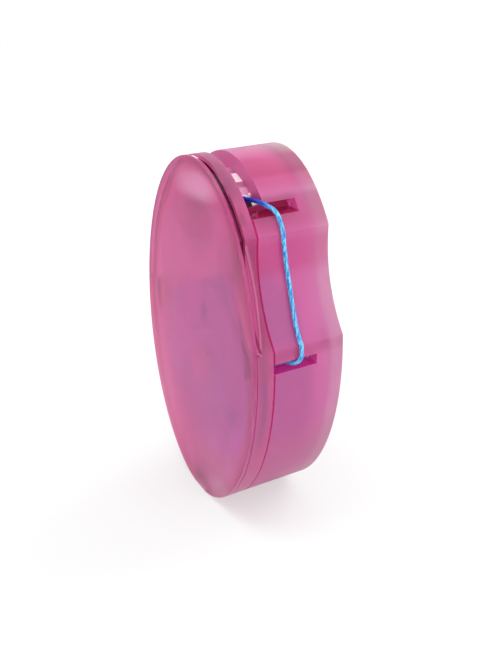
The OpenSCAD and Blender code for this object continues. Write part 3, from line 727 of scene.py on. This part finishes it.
# A ring with a ledge for the lid's plug, cut back in the upper half for a fingernail. A lip follows the
# full oval over the recess, and the web across the top has a straight lower edge.
def makeFrame(shape):
    marks = [("kink", 0), ("right", shape["nailHeight"]), ("right", shape["lipEnds"][0]),
             ("right", shape["lipEnds"][1]), ("kink", 1), ("top", shape["webRight"][0]),
             ("left", shape["webLeft"][1]), ("left", shape["nailHeight"])]
    insets = [0, 0, shape["shade"], shape["band"], caseSize["wall"], shape["inside"]]
    rings, counts = caseRings(insets, marks, shape["spacing"], plain=(0,))
    inWeb = stationFlags(counts, shape["webParts"])
    web = np.flatnonzero(inWeb)
    web = np.append(web, web[-1] + 1)
    share = np.linspace(0, 1, len(web))[:, None]
    rings[-1, web] = np.array(shape["webRight"]) * (1 - share) + np.array(shape["webLeft"]) * share
    depths = [shape[k] for k in ("front", "ledge", "nail", "lipBack", "webFront", "back")]
    n = len(rings[0])
    filled = np.zeros((n, 5, 5), bool)
    filled[:, 1:, 3] = True
    filled[:, 2:, 1:3] = True
    filled[stationFlags(counts, shape["plainParts"]), :2, 1:3] = True
    filled[inWeb, 4, 4] = True
    filled[stationFlags(counts, shape["lipParts"]), 2, 0] = True
    points, faces = cellSolid(rings, depths, filled, [False] * 5)
    ring = makePiece("front_frame_frosted", points, faces, framePlastic, "case",
                     nodes=["front_frame"], mend=True)
    outward = lambda x, z, out: (out[0] * x + out[2] * (z - caseSize["middle"])) > 0
    middle = caseCurve((shape["shade"] + shape["band"]) / 2)
    # painted shade on the groove's floor and the inner part of the nail face
    finishFaces(ring, grooveShadePlastic, lambda x, y, z, out: (z > shape["nailHeight"]) & (
        (wallBetween(y, out, shape["ledge"], shape["nail"]) & outward(x, z, out))
        | (flatAt(y, out, shape["nail"], -1) & nearCurve(x, z, middle, shape["shadeReach"]))))
    # painted light on the web's front
    finishFaces(ring, webPaintedLight, lambda x, y, z, out: flatAt(y, out, shape["webFront"], -1))
    cx, cz = caseSize["recessAt"]
    # painted light and shadow on the lip's face
    finishFaces(ring, lipLitAndShadowed, lambda x, y, z, out: flatAt(y, out, shape["nail"], -1)
                & (np.hypot(x - cx, z - cz) < caseSize["recessRadius"]))
    roundEdges(ring, shape["rounded"])


makeFrame(frameShape)

shellShape = {"front": 3.93, "seam": 4.24, "windowBack": 7, "lowerSlotBack": 12.6, "upperSlotBack": 13.1,
              "floor": 16, "back": 18, "lowerSlot": (35.05, 36.9), "upperSlot": (60.1, 61.95),
              "lowerSlotParts": [1], "upperSlotParts": [5], "windowParts": [6], "slotSlack": 0.01,
              "slotEnds": (12, 13.2), "windowFoot": 60, "wallBand": 1, "inside": 4.5,
              "spacing": 0.45, "rounded": 0.06, "bossDepths": (15.4, 16.3), "bosses": [
                  {"at": (0, caseSize["bobbinHeight"]), "bore": 2.03, "outer": 4.6},  # for the axle
                  {"at": (17.4, 37.4), "bore": 0.83, "outer": 1.6}]}  # for the guide pin


# A rectangle turned round an axis along the depth.
def turnedBoss(boss, depths, n=64):
    radius = np.array([boss[k] for k in ("bore", "outer", "outer", "bore")])[:, None]
    depth = np.repeat(depths, 2)[:, None]
    angle = np.arange(n)[None] * 2 * np.pi / n
    x, z = boss["at"]
    points = inFrame(x + radius * np.cos(angle), depth, z + radius * np.sin(angle))
    return points.reshape(-1, 3), gridQuads(len(radius), n, looped=True)[0]


# A cup: its wall is cut back to a different depth in each part between marks, which leaves the
# floss slots and the cutter window.
def makeShell(shape):
    low, high = shape["lowerSlot"], shape["upperSlot"]
    marks = [("right", low[0]), ("right", low[1]), ("kink", 0), ("kink", 1), ("right", high[0]),
             ("right", high[1]), ("left", high[1])]
    insets = [0, shape["wallBand"], caseSize["wall"], shape["inside"]]
    rings, counts = caseRings(insets, marks, shape["spacing"])
    depths = [shape["front"], shape["seam"], shape["windowBack"], shape["lowerSlotBack"],
              shape["upperSlotBack"], shape["floor"], shape["back"]]
    n = len(rings[0])
    filled = np.zeros((n, 6, 3), bool)
    filled[:, :5, :2] = True
    filled[:, 5, :] = True
    filled[stationFlags(counts, shape["lowerSlotParts"]), :3, :2] = False
    filled[stationFlags(counts, shape["upperSlotParts"]), :4, :2] = False
    filled[stationFlags(counts, shape["windowParts"]), :2, :2] = False
    points, faces = cellSolid(rings, depths, filled, [False] * 5 + [True])
    points = points.reshape(-1, 3)
    for boss in shape["bosses"]:
        more, quads = turnedBoss(boss, shape["bossDepths"])
        faces += (quads + len(points)).tolist()
        points = np.vstack([points, more])
    shell = makePiece("rear_shell_frosted", points, faces, shellPlastic, "case",
                      nodes=["rear_shell"], mend=True)
    slack, square = shape["slotSlack"], faceTest["along"]
    within = lambda z, slot: (z > slot[0] - slack) & (z < slot[1] + slack)
    inSlot = lambda x, z: (x > 0) & (within(z, low) | within(z, high))
    near, far = shape["slotEnds"]
    # painted shade on the slot walls
    finishFaces(shell, slotShadePlastic, lambda x, y, z, out: inSlot(x, z) & (np.abs(out[2]) > square) & (y < far))
    # painted light on the slot ends
    finishFaces(shell, slotEndLitPlastic, lambda x, y, z, out: inSlot(x, z) & (out[1] < -square)
                & (y > near) & (y < far))
    # painted shade on the window's back wall
    finishFaces(shell, windowWallShade, lambda x, y, z, out: flatAt(y, out, shape["windowBack"], -1)
                & (z > shape["windowFoot"]))
    finishFaces(shell, seamPlastic, lambda x, y, z, out: wallBetween(y, out, 0, shape["seam"])
                & ~inSlot(x, z))
    roundEdges(shell, shape["rounded"])


makeShell(shellShape)
print("case made")

stripShape = {"outer": 2.75, "thick": 0.3, "lip": 4.25, "front": 3.95, "back": 8.6, "rounded": 0.04,
              "flats": (-8.6, -7.4, -6.2, -5, -3.7, -2.4, -1.1, 0.2, 1.4, 2.7, 5, 6.1, 7.7),
              "tooth": [(-0.3, 4.8), (2, 4.8), (2, 5.9), (1.898, 6.5), (1.725, 7.525), (1.205, 6.5),
                        (0.9, 5.9), (-0.3, 5.9)],
              "toothParts": [(0, 1, 2, 3, 5, 6, 7), (3, 4, 5)], "toothAt": (7.7, 61.88), "toothSlope": 38.3,
              "toothTop": 62, "toothFrom": 8, "tipFrom": (8.1, 6.7), "brightFlat": (2.7, 5),
              "brightUpward": 0.5, "brightBeads": {"at": (7.73, 62.27), "reach": 0.3, "back": 7.3},
              "beads": [{"at": (7.72, 62.25), "from": 4, "to": 6.45, "radius": 0.2},
                        {"at": (7.75, 62.3), "from": 6.7, "to": 7.25, "radius": 0.28}]}


# A rolled bead along the depth: a blunt arc between its two ends, turned round its axis.
def turnedBead(bead, n=20, rows=9, blunt=0.6):
    turn = np.linspace(0, np.pi, rows)[:, None]
    middle, half = (bead["from"] + bead["to"]) / 2, (bead["to"] - bead["from"]) / 2
    angle = np.arange(n)[None] * 2 * np.pi / n
    radius = bead["radius"] * np.sin(turn[1:-1]) ** blunt
    depth = middle - half * np.cos(turn[1:-1])
    x, z = bead["at"]
    points = inFrame(x + radius * np.cos(angle), depth, z + radius * np.sin(angle)).reshape(-1, 3)
    ends = inFrame(x, np.array([bead["from"], bead["to"]]), z)
    quads = gridQuads(rows - 2, n)[0]
    j, tip = np.arange(n), np.full(n, len(points))
    k, low = (j + 1) % n, len(points) - n
    caps = np.vstack([np.stack([k, j, tip, tip], 1), np.stack([low + j, low + k, tip + 1, tip + 1], 1)])
    return np.vstack([points, ends]), np.vstack([quads, caps])


# A steel strip bent in flats along the inside of the case, with its back edge turned in: rings of points
# at three insets, at the places across where the flats meet.
def makeStrip(shape):
    across = np.asarray(shape["flats"][::-1])
    rings = []
    for inset in (shape["outer"], shape["outer"] + shape["thick"], shape["lip"]):
        curve = caseCurve(inset)
        at = np.array([markPlace(curve, ("top", x), None) for x in across])
        rings.append(np.stack([np.interp(at, curve["run"], curve[way]) for way in ("x", "z")], -1))
    n = len(across)
    filled = np.zeros((n, 2, 2), bool)
    filled[:-1, :, 0] = True
    filled[:-1, 1, 1] = True
    depths = [shape["front"], shape["back"] - shape["thick"], shape["back"]]
    points, faces = cellSolid(np.array(rings), depths, filled, [False, False])
    points = points.reshape(-1, 3)
    plate = np.asarray(shape["tooth"])
    slope = math.radians(shape["toothSlope"])
    x0, z0 = shape["toothAt"]
    for lift in (0, shape["thick"]):
        x = x0 + plate[:, 0] * math.cos(slope) + lift * math.sin(slope)
        z = z0 - plate[:, 0] * math.sin(slope) + lift * math.cos(slope)
        points = np.vstack([points, inFrame(x, plate[:, 1], z)])
    m, base = len(plate), len(points) - 2 * len(plate)
    for part in shape["toothParts"]:
        faces += [[base + k for k in part][::-1], [base + m + k for k in part]]
    faces += [[base + k, base + (k + 1) % m, base + m + (k + 1) % m, base + m + k] for k in range(m)]
    for bead in shape["beads"]:
        more, quads = turnedBead(bead)
        faces += (quads + len(points)).tolist()
        points = np.vstack([points, more])
    strip = makePiece("cutter_strip_polished", points, faces, stripReflectionSteel, "case",
                      nodes=["cutter_strip"], sharp=5, mend=True)
    # painted reflections on the tooth, its tip, the bright flat and the bead ends
    finishFaces(strip, toothDarkReflection, lambda x, y, z, out: (x > shape["toothFrom"]) & (z < shape["toothTop"]))
    tipX, tipY = shape["tipFrom"]
    finishFaces(strip, tipWhiteReflection, lambda x, y, z, out: (x > tipX) & (y > tipY) & (z < shape["toothTop"]))
    left, right = shape["brightFlat"]
    beads = shape["brightBeads"]
    bx, bz = beads["at"]
    finishFaces(strip, whiteReflectionSteel, lambda x, y, z, out: (
        (x > left) & (x < right) & (out[2] > shape["brightUpward"]))
        | ((np.hypot(x - bx, z - bz) < beads["reach"]) & (y < beads["back"])))
    roundEdges(strip, shape["rounded"], angle=30)


makeStrip(stripShape)
print("cutter made")

cadFinishes = {"bobbin": bluePlastic, "bobbin_flange": bluePlastic, "spool_axle": whitePlastic,
               "axle_cap": whitePlastic, "drag_washer": woolFelt, "guide_pin": pinSteel,
               "cutter_block": blockLitAndShaded}
for name, finish in cadFinishes.items():
    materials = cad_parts[name].data.materials
    materials.clear()
    materials.append(finish)
print("CAD pieces finished:", len(cadFinishes))

floorLook = {"size": 3, "white": (0.85, 0.87, 0.86), "glow": 0.45, "near": 0.25, "far": 0.7}


# Where rays come straight from the camera, by a reflection or through clear plastic.
def seenPlainly(tree):
    rays = addNode(tree, "LightPath").outputs
    most = mathOf(tree, "MAXIMUM", rays["Is Camera Ray"], rays["Is Glossy Ray"])
    return mathOf(tree, "MAXIMUM", most, rays["Is Transmission Ray"])


# A wide sheet just under the foot. Part of what the camera sees is plain white, and the rest is lit
# and takes the shadow. Away from the part it is all plain white.
def makeFloor(look):
    half = look["size"] / 2
    mesh = bpy.data.meshes.new("floor")
    corners = [(-half, -half, 0), (half, -half, 0), (half, half, 0), (-half, half, 0)]
    mesh.from_pydata(corners, [], [(0, 1, 2, 3)])
    material, tree, shader = newMaterial("floor_white")
    feed(tree, shader, {"Base Color": (*look["white"], 1), "Roughness": 0.9, "Specular IOR Level": 0.1})
    glow = addNode(tree, "Emission", {"Color": (1, 1, 1, 1)})
    away = addNode(tree, "VectorMath")
    away.operation = "LENGTH"
    feed(tree, away, {0: addNode(tree, "TexCoord").outputs["Object"]})
    plain = spread(tree, away.outputs["Value"], look["glow"], 1, look["near"], look["far"])
    mix = addNode(tree, "MixShader", {0: mathOf(tree, "MULTIPLY", seenPlainly(tree), plain),
                                      1: shader.outputs["BSDF"], 2: glow.outputs["Emission"]})
    feed(tree, tree.nodes["Material Output"], {"Surface": mix.outputs["Shader"]})
    mesh.materials.append(material)
    floor = bpy.data.objects.new("floor", mesh)
    scene.collection.objects.link(floor)


makeFloor(floorLook)


# White where it is seen, and a plainer level for what it lights.
def makeWorld(level):
    world = bpy.data.worlds.new("studio")
    scene.world = world
    world.use_nodes = True
    tree = world.node_tree
    feed(tree, tree.nodes["Background"], {"Color": (1, 1, 1, 1),
                                          "Strength": spread(tree, seenPlainly(tree), level, 1, 0, 1)})


makeWorld(level=0.85)

lampTarget = (0, 0, 0.034)
lamps = {
    "lamp_key": {"at": (-0.1, -0.25, 0.7), "size": 0.35, "power": 1.6},
    "lamp_fill": {"at": (0.6, 0.15, 0.25), "size": 0.5, "power": 1.6},
    "lamp_back": {"at": (-0.1, 0.6, 0.4), "size": 0.5, "power": 2.5},
}
for name, lamp in lamps.items():
    light = bpy.data.lights.new(name, "AREA")
    light.energy, light.size = lamp["power"], lamp["size"]
    holder = bpy.data.objects.new(name, light)
    holder.location = lamp["at"]
    holder.rotation_euler = (Vector(lamp["at"]) - Vector(lampTarget)).to_track_quat("Z", "Y").to_euler()
    scene.collection.objects.link(holder)
print("stage made:", len(lamps), "lamps")

scene.view_settings.view_transform = "Standard"
